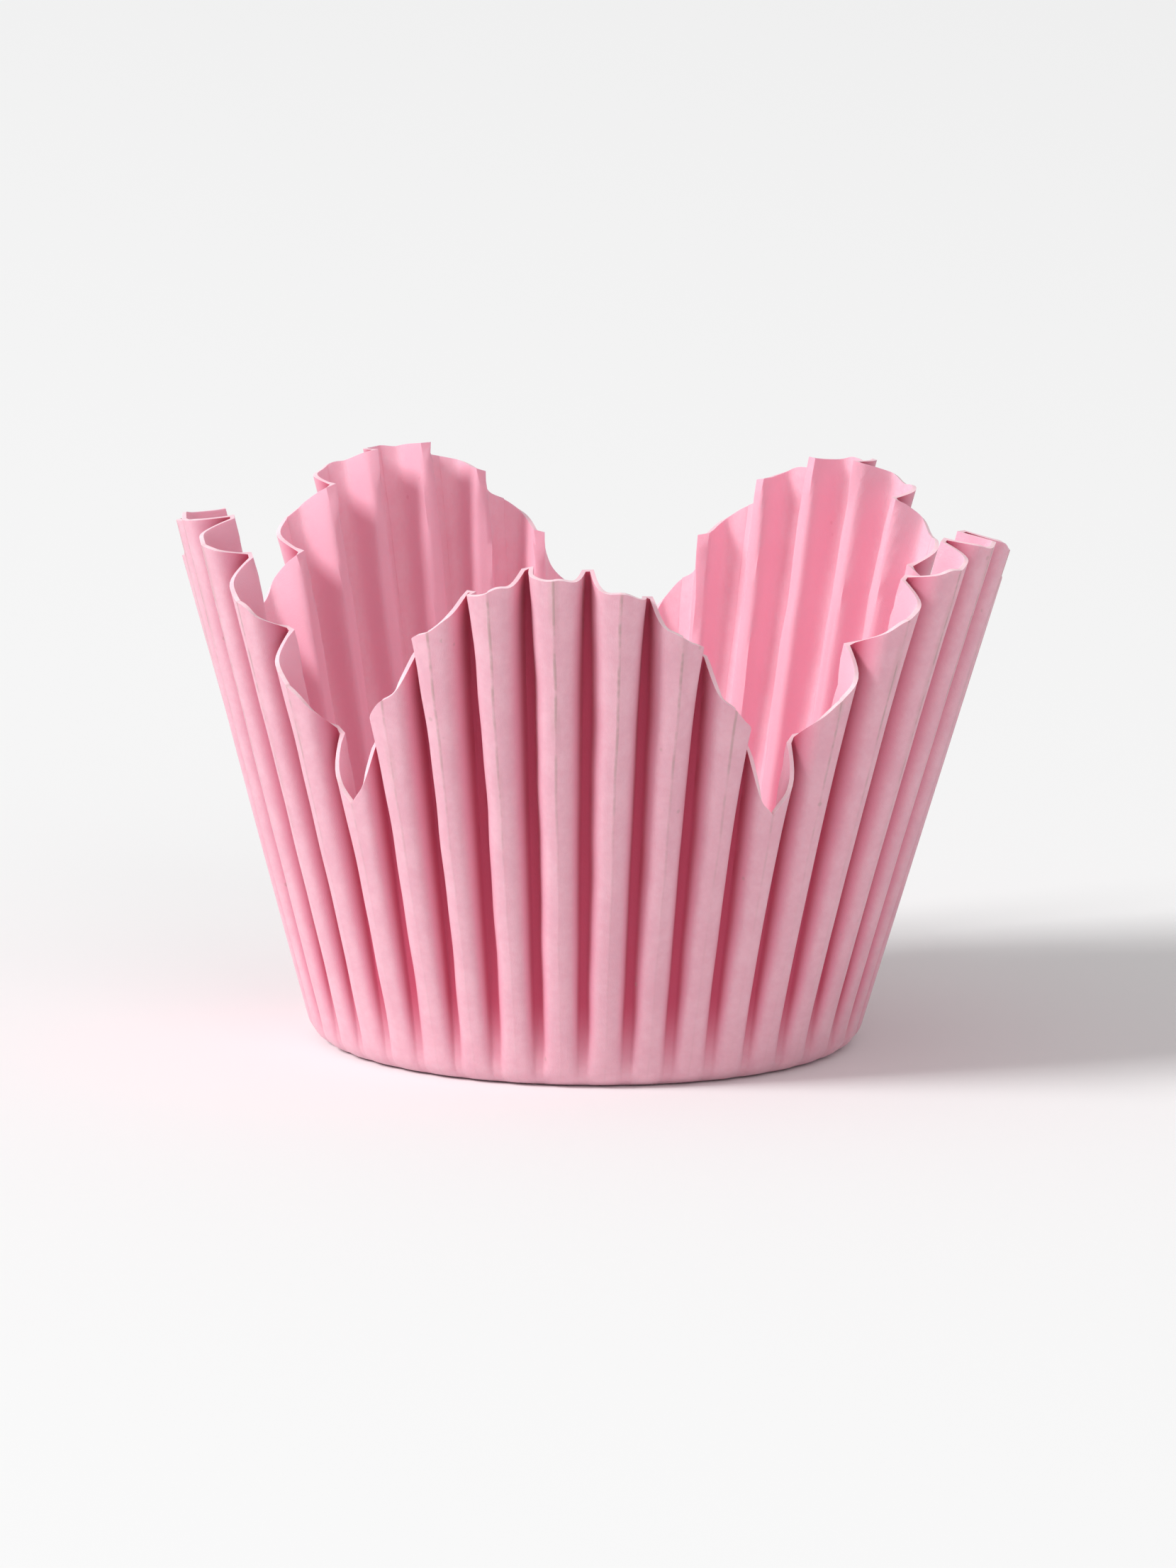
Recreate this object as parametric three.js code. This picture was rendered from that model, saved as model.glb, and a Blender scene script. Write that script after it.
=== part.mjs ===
// A paper baking cup with a petal rim: one round of greaseproof paper, its edge cut into petals and
// pressed into standing pleats around a flat round base.
//
// Millimetres, +Z up. The origin is the centre of the base's underside, and a petal's tip stands over
// the -Y axis.

import * as THREE from 'three';

// Driving dimensions.
const BASE_RADIUS = 25; // where the ridges of the pleats, carried on straight, would meet the table
const BASE_BEND_RADIUS = 2.5; // of the bend from the base up into the wall
const WALL_LEAN_DEG = 16.1; // how far the ridges lean outwards from upright
const PETAL_HEIGHT = 49; // from the table to the tip of a petal
const NOTCH_HEIGHT = 26; // from the table to the foot of the notch between two petals
const VALLEY_LIFT = 0.8; // how much higher the rim stands in a valley than on the ridges beside it
const PAPER_THICKNESS = 0.4;
const VALLEY_WIDTH = 0.4; // across the bottom of the fold between two ridges, at the rim
const VALLEY_SPREAD = 0.8; // how much wider it is below the rim, where the folds stand open
const PETALS = 5;
const PLEATS_PER_PETAL = 8;

// Form of the folds and of the petals' outline.
const PETAL_ROUNDNESS = 2.1; // power of the petal's edge: 1 is a straight-sided point, 2 a parabola
const CREASE_SHARE = 0.16; // share of a pleat's depth that comes from its faint centre crease
const FLANK_POWER = 3.8; // how late the broad ridge turns down into the valley
const RIM_PINCH = 4; // how much later it turns down at the rim, where the folds are pressed closed
const PINCH_REACH = 6; // how far down from the rim that fades
const PLEAT_FULLNESS = 0.78; // curved flanks use more paper than straight ones of the same depth

// Fineness of the surface.
const RIDGE_STEPS = [0.45, 0.78]; // between a ridge's crease and the edge of the valley
const BEND_ROWS = 3;
const RIM_PASSES = 4; // to settle where each column of the wall meets the rim
const WALL_ROWS = [0.08, 0.22, 0.42, 0.68, 1]; // shares of the way from the bend to the rim

const PAPER_COLOUR = 0xf0b4c5;

// What follows from the driving dimensions.
const pleats = PETALS * PLEATS_PER_PETAL;
const lean = THREE.MathUtils.degToRad(WALL_LEAN_DEG);
const bendTurn = Math.PI / 2 - lean;
const flatRadius = BASE_RADIUS - BASE_BEND_RADIUS * Math.tan(bendTurn / 2);
const bendEnd = flatRadius + BASE_BEND_RADIUS * bendTurn;
const bendEndHeight = BASE_BEND_RADIUS * (1 - Math.cos(bendTurn));
const petalPath = pathToHeight(PETAL_HEIGHT);
const tipPitch = (2 * Math.PI * ridge(petalPath).radius) / pleats;
const valleyEdge = 1 - VALLEY_WIDTH / tipPitch;

/** Length of paper along a ridge, from the middle of the base to a height above the table. */
function pathToHeight(height) {
  return bendEnd + (height - bendEndHeight) / Math.cos(lean);
}

/** Ridge line at a length of paper from the middle of the base, with the direction into the cup. */
function ridge(path) {
  const turn = THREE.MathUtils.clamp((path - flatRadius) / BASE_BEND_RADIUS, 0, bendTurn);
  const rise = Math.max(0, path - bendEnd);
  return {
    radius: Math.min(path, flatRadius) + BASE_BEND_RADIUS * Math.sin(turn) + rise * Math.sin(lean),
    height: BASE_BEND_RADIUS * (1 - Math.cos(turn)) + rise * Math.cos(lean),
    inwards: -Math.sin(turn),
    upwards: Math.cos(turn),
  };
}

/**
 * Depth of the pleats at a length of paper from the middle. The flat round is wider there than the cup
 * is, and the folds take up the difference.
 */
function pleatDepth(path) {
  const spare = path * path - ridge(path).radius ** 2;
  return PLEAT_FULLNESS * (Math.PI / pleats) * Math.sqrt(Math.max(0, spare));
}

/** Share of the depth reached across a pleat: 0 on the ridge's crease, 1 in the valleys at -1 and 1. */
function foldShape(across, belowRim) {
  const pinch = Math.exp(-belowRim / PINCH_REACH);
  const edge = valleyEdge - (VALLEY_SPREAD * (1 - pinch)) / tipPitch;
  const x = Math.min(1, Math.abs(across) / edge);
  return CREASE_SHARE * x + (1 - CREASE_SHARE) * x ** (FLANK_POWER + RIM_PINCH * pinch);
}

/** Height of the rim at a place across a pleat, where the paper runs on past its turns. */
function rimHeight(pleat, across) {
  const depth = pleatDepth(petalPath);
  const half = tipPitch / 2;
  const paper = (half * Math.abs(across) + depth * foldShape(across, 0)) / (half + depth);
  const around = pleat + (Math.sign(across) * paper) / 2;
  const fromTip = Math.abs(around - PLEATS_PER_PETAL * Math.round(around / PLEATS_PER_PETAL));
  const share = Math.min(1, fromTip / (PLEATS_PER_PETAL / 2));
  const drop = (PETAL_HEIGHT - NOTCH_HEIGHT) * share ** PETAL_ROUNDNESS;
  return PETAL_HEIGHT - drop + VALLEY_LIFT * foldShape(across, 0);
}

/** Length of paper from the middle of the base to the rim. The leaning folds lift the valleys a little. */
function rimPath(pleat, across) {
  const height = rimHeight(pleat, across);
  let path = pathToHeight(height);
  for (let pass = 0; pass < RIM_PASSES; pass += 1) {
    path = pathToHeight(height - pleatDepth(path) * foldShape(across, 0) * Math.sin(lean));
  }
  return path;
}

/** Point of the outer face, at a length of paper from the middle and a place around the cup. */
function outerPoint(path, pleat, across, belowRim) {
  const { radius, height, inwards, upwards } = ridge(path);
  const fold = pleatDepth(path) * foldShape(across, belowRim);
  const angle = (2 * Math.PI * (pleat + across / 2)) / pleats - Math.PI / 2;
  const reach = radius + fold * inwards;
  return new THREE.Vector3(reach * Math.cos(angle), reach * Math.sin(angle), height + fold * upwards);
}

/** Lengths of paper at which a column of the surface has its points, from the base's edge to the rim. */
function columnPaths(pleat, across) {
  const rim = rimPath(pleat, across);
  const paths = [];
  for (let row = 0; row <= BEND_ROWS; row += 1) {
    paths.push(flatRadius + ((bendEnd - flatRadius) * row) / BEND_ROWS);
  }
  return paths.concat(WALL_ROWS.map((share) => bendEnd + (rim - bendEnd) * share));
}

/** The outer face as columns of points, side by side around the cup. */
function outerColumns() {
  const half = [...RIDGE_STEPS.map((share) => share * valleyEdge), valleyEdge];
  const places = [...half.map((x) => -x).reverse(), 0, ...half];
  const columns = [];
  for (let pleat = 0; pleat < pleats; pleat += 1) {
    for (const across of places) {
      const paths = columnPaths(pleat, across);
      const rim = paths.at(-1);
      columns.push(paths.map((path) => outerPoint(path, pleat, across, rim - path)));
    }
  }
  return columns;
}

/** The inner face: each point of the outer one set back by the paper's thickness. */
function innerColumns(outer) {
  const count = outer.length;
  const last = outer[0].length - 1;
  return outer.map((column, i) => column.map((point, row) => {
    const along = new THREE.Vector3();
    along.subVectors(column[Math.min(last, row + 1)], column[Math.max(0, row - 1)]);
    const before = outer[(i + count - 1) % count][row];
    const after = outer[(i + 1) % count][row];
    const sideA = new THREE.Vector3().subVectors(point, before).cross(along).normalize();
    const sideB = new THREE.Vector3().subVectors(after, point).cross(along).normalize();
    if (row === 0) return point.clone().setZ(point.z + PAPER_THICKNESS);
    const middle = sideA.clone().add(sideB).normalize();
    const mitre = Math.min(1.5, 1 / middle.dot(sideA));
    return point.clone().addScaledVector(middle, -PAPER_THICKNESS * mitre);
  }));
}

/** Closed shell from the outer and inner faces, their two middles and the cut edge between them. */
function shellGeometry(outer, inner) {
  const count = outer.length;
  const rows = outer[0].length;
  const points = [...outer.flat(), ...inner.flat()];
  const underMiddle = points.push(new THREE.Vector3(0, 0, 0)) - 1;
  const floorMiddle = points.push(new THREE.Vector3(0, 0, PAPER_THICKNESS)) - 1;
  const outerAt = (i, row) => (i % count) * rows + row;
  const innerAt = (i, row) => count * rows + outerAt(i, row);
  const faces = [];
  const quad = (a, b, c, d) => faces.push(a, b, c, a, c, d);
  for (let i = 0; i < count; i += 1) {
    faces.push(underMiddle, outerAt(i + 1, 0), outerAt(i, 0));
    faces.push(floorMiddle, innerAt(i, 0), innerAt(i + 1, 0));
    for (let row = 0; row < rows - 1; row += 1) {
      quad(outerAt(i, row), outerAt(i + 1, row), outerAt(i + 1, row + 1), outerAt(i, row + 1));
      quad(innerAt(i, row), innerAt(i, row + 1), innerAt(i + 1, row + 1), innerAt(i + 1, row));
    }
    quad(outerAt(i, rows - 1), outerAt(i + 1, rows - 1), innerAt(i + 1, rows - 1), innerAt(i, rows - 1));
  }
  const geometry = new THREE.BufferGeometry();
  geometry.setFromPoints(points);
  geometry.setIndex(faces);
  geometry.computeVertexNormals();
  return geometry;
}

/** The paper cup. */
function bakingCup() {
  const outer = outerColumns();
  const paper = new THREE.MeshStandardMaterial({ color: PAPER_COLOUR, roughness: 0.85, metalness: 0 });
  const mesh = new THREE.Mesh(shellGeometry(outer, innerColumns(outer)), paper);
  mesh.name = 'baking_cup';
  return mesh;
}

const cup = new THREE.Group();
cup.add(bakingCup());

export default cup;
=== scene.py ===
"""A paper baking cup with a petal rim, on a pale studio floor.

Metres throughout, +Z up, with the origin at the centre of the base's underside. One petal's tip stands
over -Y. The cup is a flat round of greaseproof paper: every point of it is found from its distance along
the paper from the middle and its place across a pleat.
"""
import logging
import math
from dataclasses import dataclass, field
from enum import IntEnum

import bpy
import numpy as np
from mathutils import Matrix, Vector


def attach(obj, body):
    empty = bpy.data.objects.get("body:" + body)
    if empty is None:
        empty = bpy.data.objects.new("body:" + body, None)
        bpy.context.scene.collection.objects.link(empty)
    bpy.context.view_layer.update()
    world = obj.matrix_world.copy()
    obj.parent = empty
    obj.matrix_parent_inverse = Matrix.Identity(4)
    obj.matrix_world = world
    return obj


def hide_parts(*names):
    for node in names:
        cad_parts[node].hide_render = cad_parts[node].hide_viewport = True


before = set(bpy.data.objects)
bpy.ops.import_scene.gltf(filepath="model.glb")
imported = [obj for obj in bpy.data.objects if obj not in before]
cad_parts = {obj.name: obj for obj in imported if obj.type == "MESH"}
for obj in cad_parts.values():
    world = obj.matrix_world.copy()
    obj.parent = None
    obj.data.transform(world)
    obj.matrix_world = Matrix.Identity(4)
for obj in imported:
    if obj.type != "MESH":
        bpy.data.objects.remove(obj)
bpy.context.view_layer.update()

LOG = logging.getLogger("baking_cup")
PHOTO_SIZE = (1659, 2212)
MM = 0.001
SHEET_SPAN = 160 * MM

Colour = tuple[float, float, float, float]


class Side(IntEnum):
    """Which part of the sheet a face belongs to; the number is its material slot."""

    OUTER = 0
    INNER = 1
    CUT_EDGE = 2


def srgb(red: int, green: int, blue: int) -> Colour:
    """Turns a colour as seen, 0 to 255, into the linear values that a shader takes.

    Args:
        red: Red as seen.
        green: Green as seen.
        blue: Blue as seen.

    Returns:
        Linear red, green, blue and an alpha of 1.
    """
    seen = np.array([red, green, blue]) / 255.0
    linear = np.where(seen <= 0.04045, seen / 12.92, ((seen + 0.055) / 1.055) ** 2.4)
    return (*linear.tolist(), 1.0)


def towards(azimuth: float, elevation: float) -> Vector:
    """Direction from the cup to a lamp or the camera.

    Args:
        azimuth: Degrees round from the front, towards the right.
        elevation: Degrees above the table.

    Returns:
        A direction of length 1.
    """
    turn = math.radians(azimuth)
    lift = math.radians(elevation)
    return Vector((math.sin(turn) * math.cos(lift), -math.cos(turn) * math.cos(lift), math.sin(lift)))


@dataclass
class NodeTree:
    """A small helper that adds shader nodes to a tree and joins them."""

    tree: bpy.types.NodeTree

    @classmethod
    def new_group(cls, name: str, outputs: tuple[str, ...]) -> "NodeTree":
        """Makes an empty node group that takes coordinates and puts out masks.

        Args:
            name: The group's name.
            outputs: Names of the masks.

        Returns:
            A helper on the group's tree.
        """
        group = bpy.data.node_groups.new(name, "ShaderNodeTree")
        group.interface.new_socket("Coordinates", in_out="INPUT", socket_type="NodeSocketVector")
        for output in outputs:
            group.interface.new_socket(output, in_out="OUTPUT", socket_type="NodeSocketFloat")
        return cls(group)

    def add(self, kind: str, **settings: object) -> bpy.types.Node:
        """Adds a node and sets its properties.

        Args:
            kind: The node's type name.
            **settings: Properties of the node, by name.

        Returns:
            The new node.
        """
        node = self.tree.nodes.new(kind)
        for name, value in settings.items():
            setattr(node, name, value)
        return node

    def feed(self, node: bpy.types.Node, **inputs: object) -> bpy.types.Node:
        """Gives a node its inputs: an output socket is joined, anything else is set.

        Args:
            node: The node that takes the inputs.
            **inputs: Sockets or values, by input name with spaces written as underscores.

        Returns:
            The same node.
        """
        for name, value in inputs.items():
            socket = node.inputs[name.replace("_", " ")]
            if isinstance(value, bpy.types.NodeSocket):
                self.tree.links.new(value, socket)
            else:
                socket.default_value = value
        return node

    def math(self, operation: str, a: object, b: object = 0.0) -> bpy.types.NodeSocket:
        """Works out a sum, product or other function of one or two numbers.

        Args:
            operation: Name of the operation.
            a: First number or socket.
            b: Second number or socket.

        Returns:
            The result's socket.
        """
        node = self.add("ShaderNodeMath", operation=operation)
        for socket, value in zip(node.inputs, (a, b)):
            if isinstance(value, bpy.types.NodeSocket):
                self.tree.links.new(value, socket)
            else:
                socket.default_value = value
        return node.outputs[0]

    def attribute(self, name: str) -> bpy.types.NodeSocket:
        """Reads a value that the mesh carries."""
        return self.add("ShaderNodeAttribute", attribute_name=name).outputs["Fac"]

    def band(
        self, value: object, low: float, high: float, start: float = 0.0, end: float = 1.0
    ) -> bpy.types.NodeSocket:
        """Ramps smoothly between two levels as a value passes from low to high.

        Args:
            value: The socket to read.
            low: Value at which the ramp starts.
            high: Value at which it ends.
            start: Level below low.
            end: Level above high.

        Returns:
            The ramp's socket.
        """
        node = self.add("ShaderNodeMapRange", interpolation_type="SMOOTHSTEP")
        self.feed(node, Value=value, From_Min=low, From_Max=high, To_Min=start, To_Max=end)
        return node.outputs["Result"]

    def blend(self, share: object, a: object, b: object) -> bpy.types.NodeSocket:
        """Mixes two colours.

        Args:
            share: How much of the second colour, 0 to 1.
            a: First colour.
            b: Second colour.

        Returns:
            The mixed colour's socket.
        """
        node = self.add("ShaderNodeMix", data_type="RGBA", clamp_factor=True)
        for index, value in ((0, share), (6, a), (7, b)):
            socket = node.inputs[index]
            if isinstance(value, bpy.types.NodeSocket):
                self.tree.links.new(value, socket)
            else:
                socket.default_value = value
        return node.outputs[2]

    def noise(
        self, where: bpy.types.NodeSocket, scale: float, detail: float = 2.0, roughness: float = 0.5
    ) -> bpy.types.NodeSocket:
        """Gives a cloudy value around 0.5.

        Args:
            where: Coordinates.
            scale: Clouds in a metre.
            detail: Octaves.
            roughness: Strength of the finer octaves.

        Returns:
            The noise value's socket.
        """
        node = self.add("ShaderNodeTexNoise")
        self.feed(node, Vector=where, Scale=scale, Detail=detail, Roughness=roughness)
        return node.outputs[0]


@dataclass(frozen=True)
class PaperGrain:
    """The grain that every face of the paper shares. Its counts are in one metre of the sheet."""

    clouds: float = 260.0
    fine_clouds: float = 1500.0
    cloud_share: float = 0.6
    fibres: float = 2600.0
    fibre_stretch: float = 3.2
    specks: float = 420.0
    speck_radius: tuple[float, float] = (0.05, 0.12)
    speck_patches: float = 190.0
    speck_limit: float = 0.60

    def group(self) -> bpy.types.ShaderNodeTree:
        """Builds the grain's node group.

        Formation is the cloudy spread of the pulp, Fibre is the height of the felted fibres, and Speck
        is a scatter of tiny dark points.

        Returns:
            The node group, with Coordinates in, and Formation, Fibre and Speck out.
        """
        nodes = NodeTree.new_group("paper_grain", ("Formation", "Fibre", "Speck"))
        where = nodes.add("NodeGroupInput").outputs["Coordinates"]
        clouds = nodes.math("MULTIPLY", nodes.noise(where, self.clouds, 3.0, 0.6), self.cloud_share)
        fine = nodes.noise(where, self.fine_clouds, 3.0, 0.65)
        fine = nodes.math("MULTIPLY", fine, 1 - self.cloud_share)
        formation = nodes.math("ADD", clouds, fine)
        stretch = nodes.add("ShaderNodeMapping")
        nodes.feed(stretch, Vector=where, Scale=(1.0, self.fibre_stretch, 1.0))
        fibre = nodes.noise(stretch.outputs[0], self.fibres, 4.0, 0.7)
        dots = nodes.feed(nodes.add("ShaderNodeTexVoronoi"), Vector=where, Scale=self.specks)
        dot = nodes.band(dots.outputs["Distance"], *self.speck_radius, 1.0, 0.0)
        patch = nodes.math("GREATER_THAN", nodes.noise(where, self.speck_patches, 1.0), self.speck_limit)
        speck = nodes.math("MULTIPLY", dot, patch)
        nodes.feed(nodes.add("NodeGroupOutput"), Formation=formation, Fibre=fibre, Speck=speck)
        return nodes.tree


@dataclass(frozen=True)
class FoldMarksAndShade:
    """The marks that pleating leaves on the paper, and the shade painted into its folds.

    Each pair is where a mark or the painted shade starts and ends: across half a pleat for the crease and
    the pressed face, as a share of a fold's depth for the painted shade on the flank and in the valley, and
    up the wall for the rest.
    """

    hair_line: tuple[float, float] = (0.015, 0.075)
    hair_breaks: float = 330.0
    rubbed_line: tuple[float, float] = (0.08, 0.22)
    rubbed_patches: float = 90.0
    rubbed_level: float = 0.3
    line_rise: tuple[float, float] = (0.25, 0.85)
    pressed_face: tuple[float, float] = (0.30, 0.62)
    flank: tuple[float, float] = (0.06, 0.5)
    valley: tuple[float, float] = (0.38, 0.98)
    wall_rise: tuple[float, float] = (-0.05, 0.14)

    def group(self) -> bpy.types.ShaderNodeTree:
        """Builds the node group of the fold marks and the painted fold shade.

        Line is the hair-thin rubbed line along a ridge's crease, broken by noise and strongest near the
        rim. Press is the soft polish on the ridge's face. The flank output is painted shade where the paper
        has turned off the ridge, and the valley output is darker painted shade where it nears the bottom of
        a fold.

        Returns:
            The node group, with Coordinates in, and the crease line, the polish, and the painted flank and
            valley shade out.
        """
        nodes = NodeTree.new_group("fold_marks_and_shade", ("Line", "Press", "Flank", "Deep"))
        where = nodes.add("NodeGroupInput").outputs["Coordinates"]
        across = nodes.attribute("off_crease")
        rise = nodes.attribute("rise")
        fold = nodes.attribute("fold")
        breaks = nodes.band(nodes.noise(where, self.hair_breaks, 3.0, 0.7), 0.40, 0.60, 0.25, 1.0)
        hair = nodes.math("MULTIPLY", nodes.band(across, *self.hair_line, 1.0, 0.0), breaks)
        patches = nodes.band(nodes.noise(where, self.rubbed_patches), 0.48, 0.62)
        wide = nodes.math("MULTIPLY", nodes.band(across, *self.rubbed_line, 1.0, 0.0), self.rubbed_level)
        rubbed = nodes.math("MULTIPLY", wide, patches)
        upper = nodes.band(rise, *self.line_rise, 0.12, 1.0)
        line = nodes.math("MULTIPLY", nodes.math("MAXIMUM", hair, rubbed), upper)
        press = nodes.band(across, *self.pressed_face, 1.0, 0.0)
        # Painted shade: the flank and valley masks mark where the folds sink and shade falls, faded out near
        # the base.
        wall = nodes.band(rise, *self.wall_rise)
        flank = nodes.math("MULTIPLY", nodes.band(fold, *self.flank), wall)
        deep = nodes.math("MULTIPLY", nodes.band(fold, *self.valley), wall)
        nodes.feed(nodes.add("NodeGroupOutput"), Line=line, Press=press, Flank=flank, Deep=deep)
        return nodes.tree


@dataclass(frozen=True)
class PaperFinish:
    """How one face of the paper looks."""

    name: str
    tone: Colour
    pale_tone: Colour
    # Painted shade: the flank and valley tones below darken the paper on a fold's flanks and in its valleys,
    # where shade falls.
    flank_shade_tone: Colour
    valley_shade_tone: Colour
    line_tone: Colour
    roughness: float = 0.72
    cloud_roughness: float = 0.2
    pressed_polish: float = -0.12
    sheen: float = 0.12
    sheen_roughness: float = 0.6
    specular: float = 0.3
    glow: float = 0.3
    glow_radius: tuple[float, float, float] = (1.0, 0.45, 0.5)
    glow_depth: float = 0.6 * MM
    fibre_height: float = 0.06 * MM
    fibre_strength: float = 0.6
    cloud_range: tuple[float, float] = (0.36, 0.66)
    cloud_strength: float = 0.7
    line_strength: float = 0.65
    flank_shade_strength: float = 0.8
    valley_shade_strength: float = 0.95
    speck_strength: float = 0.35

    def colour(self, nodes: NodeTree, pulp: bpy.types.Node, folds: bpy.types.Node) -> bpy.types.NodeSocket:
        """Lays the clouds, the painted shade on the flanks and in the valleys, the crease lines and the
        specks over the paper's tone, in that order.

        Args:
            nodes: The material's tree.
            pulp: The grain group's node.
            folds: The node of the group of fold marks and painted fold shade.

        Returns:
            The colour's socket.
        """
        cloudy = nodes.band(pulp.outputs["Formation"], *self.cloud_range)
        colour = nodes.blend(nodes.math("MULTIPLY", cloudy, self.cloud_strength), self.tone, self.pale_tone)
        # The flank and valley layers are painted shade; the crease lines and specks are marks on the paper.
        layers = (
            (folds.outputs["Flank"], self.flank_shade_strength, self.flank_shade_tone),
            (folds.outputs["Deep"], self.valley_shade_strength, self.valley_shade_tone),
            (folds.outputs["Line"], self.line_strength, self.line_tone),
            (pulp.outputs["Speck"], self.speck_strength, self.line_tone),
        )
        for mask, strength, tone in layers:
            colour = nodes.blend(nodes.math("MULTIPLY", mask, strength), colour, tone)
        return colour

    def material(self, grain: bpy.types.NodeTree, marks: bpy.types.NodeTree) -> bpy.types.Material:
        """Builds the material.

        Args:
            grain: The paper's grain group.
            marks: The group of fold marks and painted fold shade.

        Returns:
            The finished material.
        """
        material = bpy.data.materials.new(self.name)
        material.use_nodes = True
        nodes = NodeTree(material.node_tree)
        surface = material.node_tree.nodes["Principled BSDF"]
        sheet = nodes.add("ShaderNodeUVMap", uv_map="flat_sheet").outputs[0]
        metres = nodes.feed(nodes.add("ShaderNodeMapping"), Vector=sheet, Scale=(SHEET_SPAN,) * 3)
        pulp = nodes.feed(nodes.add("ShaderNodeGroup", node_tree=grain), Coordinates=metres.outputs[0])
        folds = nodes.feed(nodes.add("ShaderNodeGroup", node_tree=marks), Coordinates=metres.outputs[0])
        rough = nodes.math("MULTIPLY", pulp.outputs["Formation"], self.cloud_roughness)
        rough = nodes.math("ADD", rough, self.roughness)
        polish = nodes.math("MULTIPLY", folds.outputs["Press"], self.pressed_polish)
        bump = nodes.add("ShaderNodeBump")
        nodes.feed(bump, Strength=self.fibre_strength, Distance=self.fibre_height)
        nodes.feed(bump, Height=pulp.outputs["Fibre"])
        nodes.feed(surface, Base_Color=self.colour(nodes, pulp, folds), Normal=bump.outputs[0])
        nodes.feed(surface, Roughness=nodes.math("ADD", rough, polish))
        surface.inputs["Subsurface Weight"].default_value = self.glow
        surface.inputs["Subsurface Radius"].default_value = self.glow_radius
        surface.inputs["Subsurface Scale"].default_value = self.glow_depth
        surface.inputs["Sheen Weight"].default_value = self.sheen
        surface.inputs["Sheen Roughness"].default_value = self.sheen_roughness
        surface.inputs["Specular IOR Level"].default_value = self.specular
        return material


# Painted shade: the flank tone and the deep crimson valley tone stand in for the shade inside the folds.
OUTER_PAPER = PaperFinish(
    name="pink_paper_outside",
    tone=srgb(226, 170, 186),
    pale_tone=srgb(235, 187, 200),
    flank_shade_tone=srgb(226, 142, 166),
    valley_shade_tone=srgb(190, 66, 96),
    line_tone=srgb(172, 146, 140),
)
# Painted light: the inside's tone is lighter than the outside's, standing in for light shining through the
# paper; its flank and valley tones are fainter painted shade.
INNER_PAPER = PaperFinish(
    name="pink_paper_inside",
    tone=srgb(251, 192, 209),
    pale_tone=srgb(253, 206, 220),
    flank_shade_tone=srgb(250, 186, 205),
    valley_shade_tone=srgb(249, 182, 201),
    line_tone=srgb(226, 140, 164),
    line_strength=0.35,
    valley_shade_strength=0.4,
)
# Its flank and valley tones are faint painted shade in the folds.
CUT_PAPER = PaperFinish(
    name="pink_paper_cut_edge",
    tone=srgb(250, 206, 216),
    pale_tone=srgb(253, 226, 230),
    flank_shade_tone=srgb(249, 200, 212),
    valley_shade_tone=srgb(248, 196, 208),
    line_tone=srgb(216, 160, 168),
    roughness=0.85,
    line_strength=0.3,
    valley_shade_strength=0.3,
)


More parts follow.
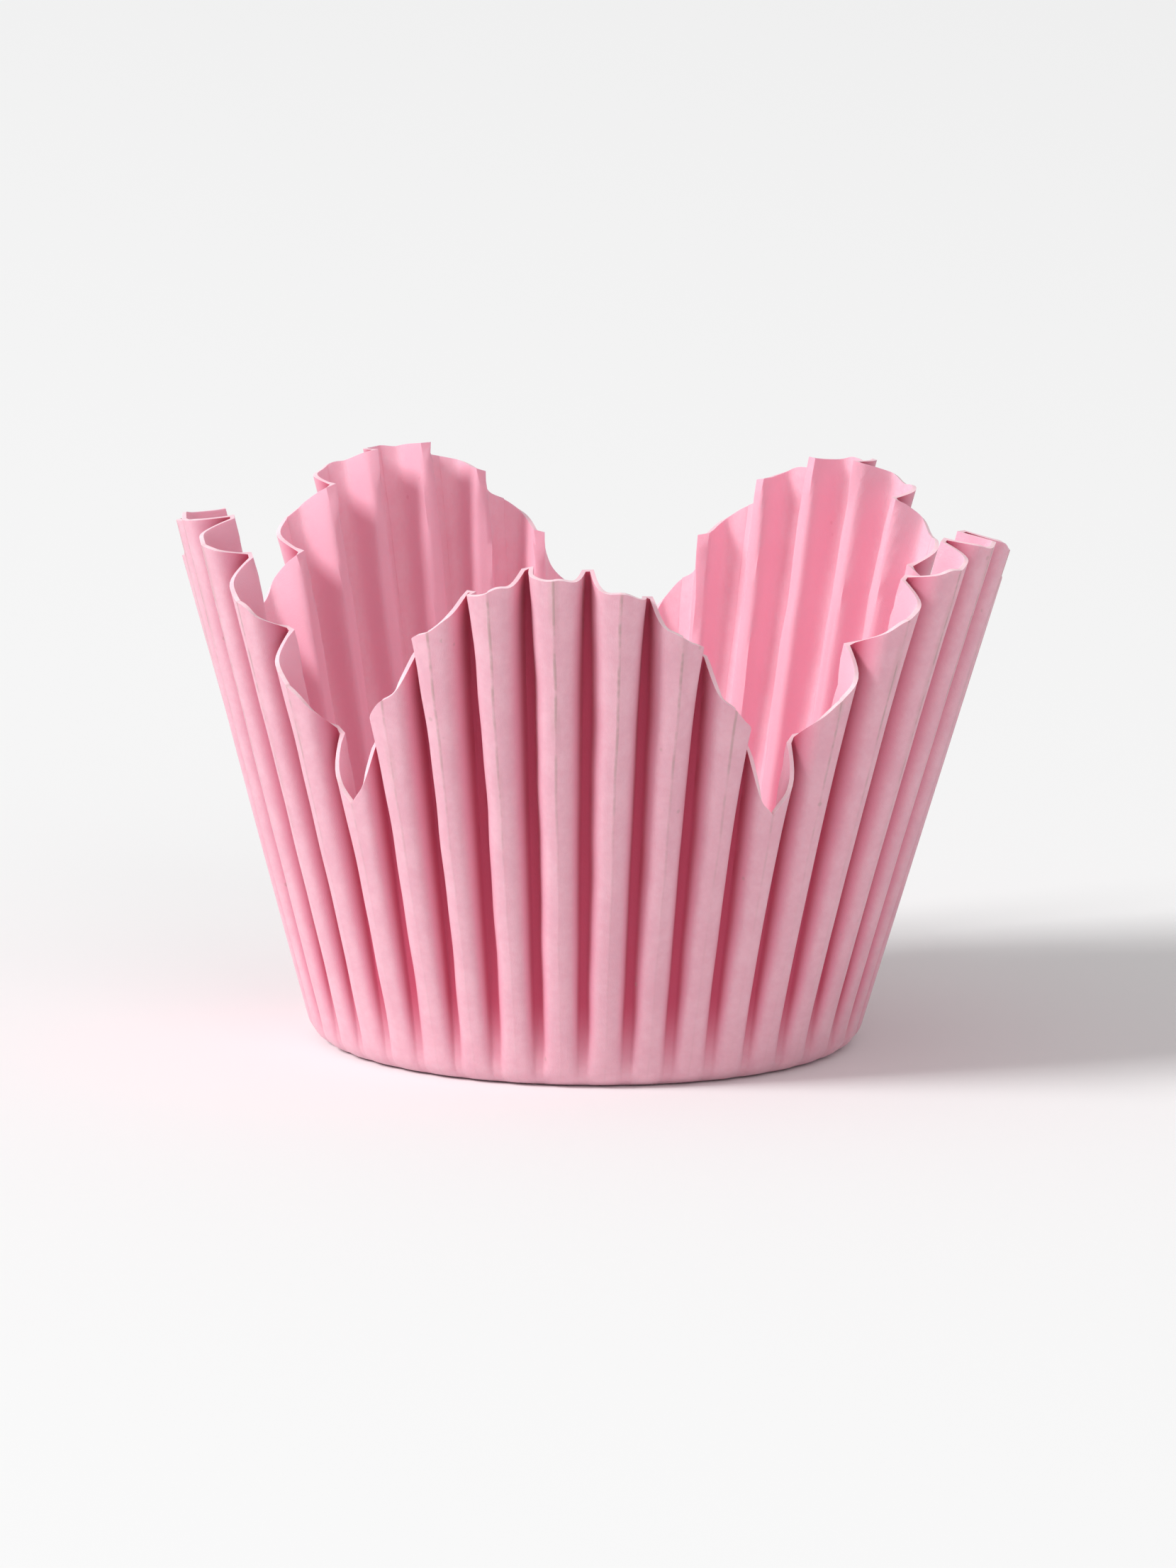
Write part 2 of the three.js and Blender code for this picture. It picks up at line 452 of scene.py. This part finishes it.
@dataclass
class BakingCup:
    """The pleated paper cup, with its sizes in metres.

    A wander, a sway or a ripple is how far the folded paper strays from the even form: across a pleat as
    a share of its half width, in a fold's depth or opening as a share of that, and otherwise in metres.
    """

    BASE_RISE = -0.05
    RIM_PASSES = 4

    base_radius: float = 25 * MM
    bend_radius: float = 2.5 * MM
    wall_lean: float = math.radians(16.1)
    petal_height: float = 49 * MM
    notch_height: float = 26 * MM
    valley_lift: float = 0.8 * MM
    thickness: float = 0.4 * MM
    valley_width: float = 0.4 * MM
    valley_spread: float = 0.8 * MM
    petals: int = 5
    pleats_per_petal: int = 8
    petal_roundness: float = 2.1
    crease_share: float = 0.16
    flank_power: float = 3.8
    rim_pinch: float = 4.0
    pinch_reach: float = 6 * MM
    pleat_fullness: float = 0.78
    fold_rounding: float = 0.05
    steps_to_valley: int = 15
    bend_rows: int = 7
    wall_rows: int = 30
    pleat_wander: float = 0.05
    openness_wander: float = 0.3
    depth_wander: float = 0.07
    petal_sway: float = 0.45 * MM
    pleat_sway_share: float = 0.25
    sway_growth: float = 1.5
    wander_limit: float = 1.8
    edge_wander: float = 0.12 * MM
    depth_waves: int = 24
    edge_waves: int = 90
    sway_waves: int = 6
    row_growth: float = 1.1
    fold_column_pull: float = 0.45
    crease_paper: float = 0.4
    smooth_below: float = math.radians(58)
    ripple_length: float = 17 * MM
    short_ripples: float = 2.3
    short_ripple_share: float = 0.35
    ripple_shift: float = 0.022
    ripple_opening: float = 0.15
    ripple_depth: float = 0.02
    seed: int = 7
    across: np.ndarray = field(init=False, repr=False)
    pleat: np.ndarray = field(init=False, repr=False)

    def __post_init__(self) -> None:
        """Lays out the columns of the sheet: several across each pleat, closer at its folds."""
        self.pleats = self.petals * self.pleats_per_petal
        self.bend_turn = math.pi / 2 - self.wall_lean
        self.flat_radius = self.base_radius - self.bend_radius * math.tan(self.bend_turn / 2)
        self.bend_end = self.flat_radius + self.bend_radius * self.bend_turn
        self.tip_path = float(self.path_to_height(np.array(self.petal_height)))
        self.tip_pitch = 2 * math.pi * float(self.ridge(np.array(self.tip_path))[0]) / self.pleats
        self.valley_edge = 1 - self.valley_width / self.tip_pitch
        step = np.linspace(0, 1, self.steps_to_valley + 1)
        half = self.valley_edge * (step - self.fold_column_pull * np.sin(2 * math.pi * step) / (2 * math.pi))
        places = np.concatenate([-half[:0:-1], half])
        self.across = np.tile(places, self.pleats)
        self.pleat = np.repeat(np.arange(self.pleats), places.size)

    def path_to_height(self, height: np.ndarray) -> np.ndarray:
        """Length of paper along a ridge from the middle to a height: the flat, the bend, then the slope.

        Args:
            height: Heights above the table.

        Returns:
            Lengths of paper, where the slope's share is its height over the cosine of the lean.
        """
        bend_height = self.bend_radius * (1 - math.cos(self.bend_turn))
        return self.bend_end + (height - bend_height) / math.cos(self.wall_lean)

    def ridge(self, path: np.ndarray) -> tuple[np.ndarray, np.ndarray, np.ndarray, np.ndarray]:
        """Follows a ridge: straight out along the base, round an arc, and up a straight slope.

        Args:
            path: Lengths of paper from the middle.

        Returns:
            Radius, height, and the inward and upward parts of the direction into the cup.
        """
        turn = np.clip((path - self.flat_radius) / self.bend_radius, 0, self.bend_turn)
        rise = np.maximum(0, path - self.bend_end)
        radius = np.minimum(path, self.flat_radius) + self.bend_radius * np.sin(turn)
        radius = radius + rise * math.sin(self.wall_lean)
        height = self.bend_radius * (1 - np.cos(turn)) + rise * math.cos(self.wall_lean)
        return radius, height, -np.sin(turn), np.cos(turn)

    def pleat_depth(self, path: np.ndarray) -> np.ndarray:
        """Depth of the folds: half a pitch of the flat round and half a pitch of the cup are the long
        and short side of a right triangle, and the depth is its third side, less a little for curves.

        Args:
            path: Lengths of paper from the middle.

        Returns:
            Depths of the pleats.
        """
        spare = path**2 - self.ridge(path)[0] ** 2
        return self.pleat_fullness * math.pi / self.pleats * np.sqrt(np.maximum(0, spare))

    def fold_shape(self, below_rim: np.ndarray, openness: np.ndarray | float = 1.0) -> np.ndarray:
        """Share of the depth in each column: a straight part for the crease and a power for the flank.
        The valleys narrow and the power grows towards the rim, where the folds are pressed closed. The
        corners of a valley's floor are rounded by a softened least-of-two.

        Args:
            below_rim: Lengths of paper from the points up to the rim.
            openness: Each column's own share of the valleys' usual spread.

        Returns:
            Shares, 0 on a ridge's crease and 1 in the valleys.
        """
        pinch = np.exp(-below_rim / self.pinch_reach)
        edge = self.valley_edge - self.valley_spread * openness / self.tip_pitch * (1 - pinch)
        x = np.abs(self.across) / edge
        power = self.flank_power + self.rim_pinch * pinch
        sharp = self.crease_share * x + (1 - self.crease_share) * x**power
        return 1 - self.fold_rounding * np.log1p(np.exp((1 - sharp) / self.fold_rounding))

    def rim_path(self, depth_factor: np.ndarray, wander: np.ndarray) -> np.ndarray:
        """Length of paper to the rim in each column: the rim drops from a petal's tip by a power of the
        distance around the flat sheet, and stands a little higher in the valleys.

        Args:
            depth_factor: Each column's own share of the pleats' usual depth.
            wander: How far each column's cut strays up or down.

        Returns:
            Lengths of paper from the middle to the rim, found in a few passes.
        """
        shape = self.fold_shape(np.zeros_like(self.across))
        depth = float(self.pleat_depth(np.array(self.tip_path)))
        half = self.tip_pitch / 2
        paper = (half * np.abs(self.across) + depth * shape) / (half + depth)
        around = self.pleat + np.sign(self.across) * paper / 2
        per_petal = self.pleats_per_petal
        from_tip = np.abs(around - per_petal * np.round(around / per_petal))
        share = np.minimum(1, from_tip / (per_petal / 2))
        drop = (self.petal_height - self.notch_height) * share**self.petal_roundness
        height = self.petal_height - drop + self.valley_lift * shape + wander
        path = self.path_to_height(height)
        for _ in range(self.RIM_PASSES):
            lift = self.pleat_depth(path) * depth_factor * shape * math.sin(self.wall_lean)
            path = self.path_to_height(height - lift)
        return path

    def smooth_random(self, waves: int, rng: np.random.Generator) -> np.ndarray:
        """A smooth closed curve around the cup: a sum of whole waves with random weights and turns.

        Args:
            waves: The largest number of waves around the cup.
            rng: Where the random numbers come from.

        Returns:
            One value per column, with a spread of about 1.
        """
        angle = 2 * math.pi * (self.pleat + self.across / 2) / self.pleats
        number = np.arange(1, waves + 1)[:, None]
        weight = rng.normal(size=(waves, 1)) * math.sqrt(2 / waves)
        return (weight * np.cos(number * angle + rng.uniform(0, 2 * math.pi, (waves, 1)))).sum(axis=0)

    def ripples(self, path: np.ndarray, rng: np.random.Generator) -> np.ndarray:
        """Faint waves along each pleat: a long and a short sine, each starting anywhere in its turn.

        Args:
            path: Each point's length of paper, as (rows, columns).
            rng: Where the random numbers come from.

        Returns:
            Waves between -1 and 1, in the same order.
        """
        start = rng.uniform(0, 2 * math.pi, (2, self.pleats))[:, self.pleat]
        turns = 2 * math.pi * path / self.ripple_length
        long = np.sin(turns + start[0])
        short = np.sin(self.short_ripples * turns + start[1])
        return (1 - self.short_ripple_share) * long + self.short_ripple_share * short

    def outer_face(self) -> tuple[np.ndarray, np.ndarray, np.ndarray]:
        """Points of the outer face. A point lies at its ridge's radius and height, moved into the cup by
        the depth of the fold there, and turned to its place around the cup.

        Returns:
            Points as (rows, columns, 3), and each point's length of paper and share of the fold's depth
            as (rows, columns).
        """
        rng = np.random.default_rng(self.seed)
        by_pleat = rng.normal(size=(3, self.pleats)).clip(-self.wander_limit, self.wander_limit)
        by_pleat = by_pleat[:, self.pleat]
        middle = 1 - self.across**2
        across = self.across + self.pleat_wander * by_pleat[0] * middle
        depth_factor = 1 + self.depth_wander * self.smooth_random(self.depth_waves, rng)
        edge = self.edge_wander * self.smooth_random(self.edge_waves, rng)
        rim = self.rim_path(depth_factor, edge)
        bend = np.linspace(self.flat_radius, self.bend_end, self.bend_rows + 1)[:, None]
        share = np.linspace(0, 1, self.wall_rows + 1)[1:, None] ** self.row_growth
        path = np.concatenate([bend + 0 * rim, self.bend_end + share * (rim - self.bend_end)])
        radius, height, inwards, upwards = self.ridge(path)
        grown = np.clip((path - self.bend_end) / (self.tip_path - self.bend_end), 0, 1)
        lean = self.smooth_random(self.sway_waves, rng) + self.pleat_sway_share * by_pleat[1]
        sway = self.petal_sway * lean * grown**self.sway_growth
        ripple = self.ripples(path, rng)
        openness = 1 + self.openness_wander * by_pleat[2] + self.ripple_opening * ripple
        shape = self.fold_shape(rim - path, openness)
        depth_factor = depth_factor * (1 + self.ripple_depth * ripple)
        fold = self.pleat_depth(path) * depth_factor * shape - sway
        across = across + self.ripple_shift * ripple * middle
        turn = 2 * math.pi * (self.pleat + across / 2) / self.pleats - math.pi / 2
        reach = radius + fold * inwards
        height = np.maximum(0, height + fold * upwards)
        return np.stack([reach * np.cos(turn), reach * np.sin(turn), height], axis=-1), path, shape

    def inner_face(self, outer: np.ndarray) -> np.ndarray:
        """Points of the inner face: each outer point set back along the mean of the normals on its two
        sides, by the thickness over the cosine of the turn between them.

        Args:
            outer: Points of the outer face.

        Returns:
            Points of the inner face, in the same order.
        """
        along = np.gradient(outer, axis=0)
        before = np.cross(outer - np.roll(outer, 1, axis=1), along)
        after = np.cross(np.roll(outer, -1, axis=1) - outer, along)
        before /= np.linalg.norm(before, axis=-1, keepdims=True)
        after /= np.linalg.norm(after, axis=-1, keepdims=True)
        mean = before + after
        mean /= np.linalg.norm(mean, axis=-1, keepdims=True)
        mitre = np.minimum(1.5, 1 / (mean * before).sum(axis=-1, keepdims=True))
        inner = outer - self.thickness * mitre * mean
        inner[0] = outer[0] + [0, 0, self.thickness]
        return inner

    def build(self) -> bpy.types.Object:
        """Builds the cup as one closed sheet: outer face, inner face, the two middles and the cut edge.

        Returns:
            The cup's object, at the origin.
        """
        outer, path, shape = self.outer_face()
        inner = self.inner_face(outer)
        rows, columns = path.shape
        middles = np.array([[0, 0, 0], [0, 0, self.thickness]])
        points = np.concatenate([outer.reshape(-1, 3), inner.reshape(-1, 3), middles])
        row, column = np.meshgrid(np.arange(rows - 1), np.arange(columns), indexing="ij")
        after = (column + 1) % columns
        here = row * columns + column
        beside = row * columns + after
        quads = np.stack([here, beside, beside + columns, here + columns], axis=-1).reshape(-1, 4)
        over = rows * columns
        back = quads[:, ::-1] + over
        first = column[0]
        second = after[0]
        top = (rows - 1) * columns
        edge = np.stack([top + first, top + second, top + second + over, top + first + over], axis=-1)
        under = np.full(columns, 2 * over)
        base = np.stack([under, second, first], axis=-1)
        floor = np.stack([under + 1, first + over, second + over], axis=-1)
        faces = [*quads.tolist(), *base.tolist(), *back.tolist(), *floor.tolist(), *edge.tolist()]
        counts = [len(quads) + columns, len(quads) + columns, columns]
        sides = np.repeat([Side.OUTER, Side.INNER, Side.CUT_EDGE], counts)
        mesh = bpy.data.meshes.new("paper_cup")
        mesh.from_pydata(points.tolist(), [], faces)
        mesh.polygons.foreach_set("material_index", sides.astype(np.int32))
        mesh.polygons.foreach_set("use_smooth", np.ones(sides.size, bool))
        self.write_sheet_values(mesh, path, shape)
        mesh.validate()
        mesh.set_sharp_from_angle(angle=self.smooth_below)
        cup = bpy.data.objects.new("paper_cup", mesh)
        bpy.context.scene.collection.objects.link(cup)
        return cup

    def write_sheet_values(self, mesh: bpy.types.Mesh, path: np.ndarray, shape: np.ndarray) -> None:
        """Writes each point's place on the flat sheet as a UV map, and its place in a fold as values.

        The flat sheet is a round: a point lies at its length of paper from the middle, in the direction
        of its place around the cup.

        Args:
            mesh: The cup's mesh.
            path: Each point's length of paper, as (rows, columns).
            shape: Each point's share of the fold's depth, in the same order.
        """
        rows = path.shape[0]
        paper = self.crease_paper * np.abs(self.across) + (1 - self.crease_paper) * shape
        paper = np.sign(self.across) * paper
        turn = 2 * math.pi * (self.pleat + paper / 2) / self.pleats
        flat = np.stack([path * np.cos(turn), path * np.sin(turn)], axis=-1).reshape(-1, 2)
        flat = np.concatenate([flat, flat, np.zeros((2, 2))]) / SHEET_SPAN + 0.5
        rise = (path - self.bend_end) / (self.tip_path - self.bend_end)
        values = {
            "off_crease": (np.tile(np.abs(self.across), rows), 1.0),
            "fold": (shape.ravel(), 0.0),
            "rise": (np.clip(rise, self.BASE_RISE, 1).ravel(), self.BASE_RISE),
        }
        for name, (one_face, at_middle) in values.items():
            layer = mesh.attributes.new(name, "FLOAT", "POINT")
            both = np.concatenate([one_face, one_face, [at_middle, at_middle]])
            layer.data.foreach_set("value", both.astype(np.float32))
        corner = np.empty(len(mesh.loops), np.int32)
        mesh.loops.foreach_get("vertex_index", corner)
        sheet = mesh.uv_layers.new(name="flat_sheet")
        sheet.data.foreach_set("uv", flat[corner].astype(np.float32).ravel())

    def dress(self, cup: bpy.types.Object) -> None:
        """Gives the cup its paper on the outer face, the inner face and the cut edge.

        Args:
            cup: The cup's object.
        """
        grain = PaperGrain().group()
        # This group holds the fold marks and also the painted shade of the folds.
        marks = FoldMarksAndShade().group()
        for finish in (OUTER_PAPER, INNER_PAPER, CUT_PAPER):
            cup.data.materials.append(finish.material(grain, marks))


@dataclass
class Studio:
    """A pale floor, a white surround and soft lamps, sized in metres."""

    floor_size: float = 8.0
    floor_tone: float = 0.93
    floor_roughness: float = 0.9
    floor_drop: float = 0.05 * MM
    sky_strength: float = 0.5
    sky_shown: float = 0.94
    middle: tuple[float, float, float] = (0.0, 0.0, 0.03)

    def floor(self) -> bpy.types.Object:
        """Lays the floor a hair below the cup's base, with a soft even finish.

        Returns:
            The floor's object.
        """
        half = self.floor_size / 2
        level = -self.floor_drop
        corners = [(-half, -half, level), (half, -half, level), (half, half, level), (-half, half, level)]
        mesh = bpy.data.meshes.new("studio_floor")
        mesh.from_pydata(corners, [], [(0, 1, 2, 3)])
        floor = bpy.data.objects.new("studio_floor", mesh)
        bpy.context.scene.collection.objects.link(floor)
        material = bpy.data.materials.new("studio_floor")
        material.use_nodes = True
        surface = material.node_tree.nodes["Principled BSDF"]
        surface.inputs["Base Color"].default_value = (self.floor_tone,) * 3 + (1.0,)
        surface.inputs["Roughness"].default_value = self.floor_roughness
        surface.inputs["Specular IOR Level"].default_value = 0.0
        mesh.materials.append(material)
        return floor

    def sky(self) -> None:
        """Lights the scene evenly from all round, and shows near white past the floor's edge."""
        world = bpy.data.worlds.new("studio_surround")
        bpy.context.scene.world = world
        world.use_nodes = True
        nodes = NodeTree(world.node_tree)
        world.node_tree.nodes.clear()
        seen = nodes.add("ShaderNodeLightPath").outputs["Is Camera Ray"]
        lit = nodes.feed(nodes.add("ShaderNodeBackground"), Color=(1, 1, 1, 1), Strength=self.sky_strength)
        shown_tone = (self.sky_shown,) * 3 + (1,)
        shown = nodes.feed(nodes.add("ShaderNodeBackground"), Color=shown_tone, Strength=1.0)
        mix = nodes.add("ShaderNodeMixShader")
        world.node_tree.links.new(seen, mix.inputs[0])
        world.node_tree.links.new(lit.outputs[0], mix.inputs[1])
        world.node_tree.links.new(shown.outputs[0], mix.inputs[2])
        out = nodes.add("ShaderNodeOutputWorld")
        world.node_tree.links.new(mix.outputs[0], out.inputs[0])

    def lamp(
        self, name: str, azimuth: float, elevation: float, distance: float, size: float, level: float
    ) -> bpy.types.Object:
        """Hangs a square soft lamp that faces the cup.

        Its power is the level of light wanted at the cup times pi squared times the distance squared.

        Args:
            name: The lamp's name.
            azimuth: Degrees round from the front, towards the right.
            elevation: Degrees above the table.
            distance: Distance from the cup.
            size: Side of the lamp.
            level: Share of full light that it gives a surface facing it.

        Returns:
            The lamp's object.
        """
        back = towards(azimuth, elevation)
        light = bpy.data.lights.new(name, "AREA")
        light.size = size
        light.energy = level * math.pi**2 * distance**2
        lamp = bpy.data.objects.new(name, light)
        lamp.location = Vector(self.middle) + back * distance
        lamp.rotation_euler = (-back).to_track_quat("-Z", "Y").to_euler()
        bpy.context.scene.collection.objects.link(lamp)
        return lamp

    def build(self) -> None:
        """Sets up the floor, the surround and the lamps."""
        self.floor()
        self.sky()
        self.lamp("window_lamp", azimuth=-62, elevation=36, distance=6.0, size=2.0, level=0.8)
        self.lamp("front_fill", azimuth=25, elevation=30, distance=6.0, size=3.2, level=0.1)


@dataclass
class PhotoCamera:
    """A long lens at the photograph's viewing angle, with the cup filling most of the frame's width."""

    azimuth: float = 4.9
    elevation: float = 10.5
    roll: float = 0.7
    distance: float = 1.676
    width_in_view: float = 0.108
    aim: tuple[float, float, float] = (0.0, 0.0, 0.0235)
    sensor: float = 36.0

    def build(self) -> bpy.types.Object:
        """Places the camera on the line from the aim point, and tilts it by the photograph's roll.

        Returns:
            The camera's object.
        """
        back = towards(self.azimuth, self.elevation)
        lens = bpy.data.cameras.new("photo_camera")
        lens.sensor_width = self.sensor
        view_height = self.width_in_view * PHOTO_SIZE[1] / PHOTO_SIZE[0]
        lens.lens = self.sensor * self.distance / view_height
        lens.clip_start = 0.1
        lens.clip_end = 30.0
        camera = bpy.data.objects.new("photo_camera", lens)
        level = (-back).to_track_quat("-Z", "Y").to_matrix().to_4x4()
        tilt = Matrix.Rotation(math.radians(self.roll), 4, "Z")
        camera.matrix_world = Matrix.Translation(Vector(self.aim) + back * self.distance) @ level @ tilt
        bpy.context.scene.collection.objects.link(camera)
        bpy.context.scene.camera = camera
        return camera


def main() -> None:
    """Builds the camera, the studio and the cup, and reports the cup's number of faces."""
    logging.basicConfig(level=logging.INFO, format="%(message)s")
    bpy.context.scene.view_settings.view_transform = "Standard"
    PhotoCamera().build()
    Studio().build()
    design = BakingCup()
    cup = design.build()
    design.dress(cup)
    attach(cup, "root")
    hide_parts("baking_cup")
    LOG.info("%s: %d faces", cup.name, len(cup.data.polygons))


if __name__ == "__main__":
    main()
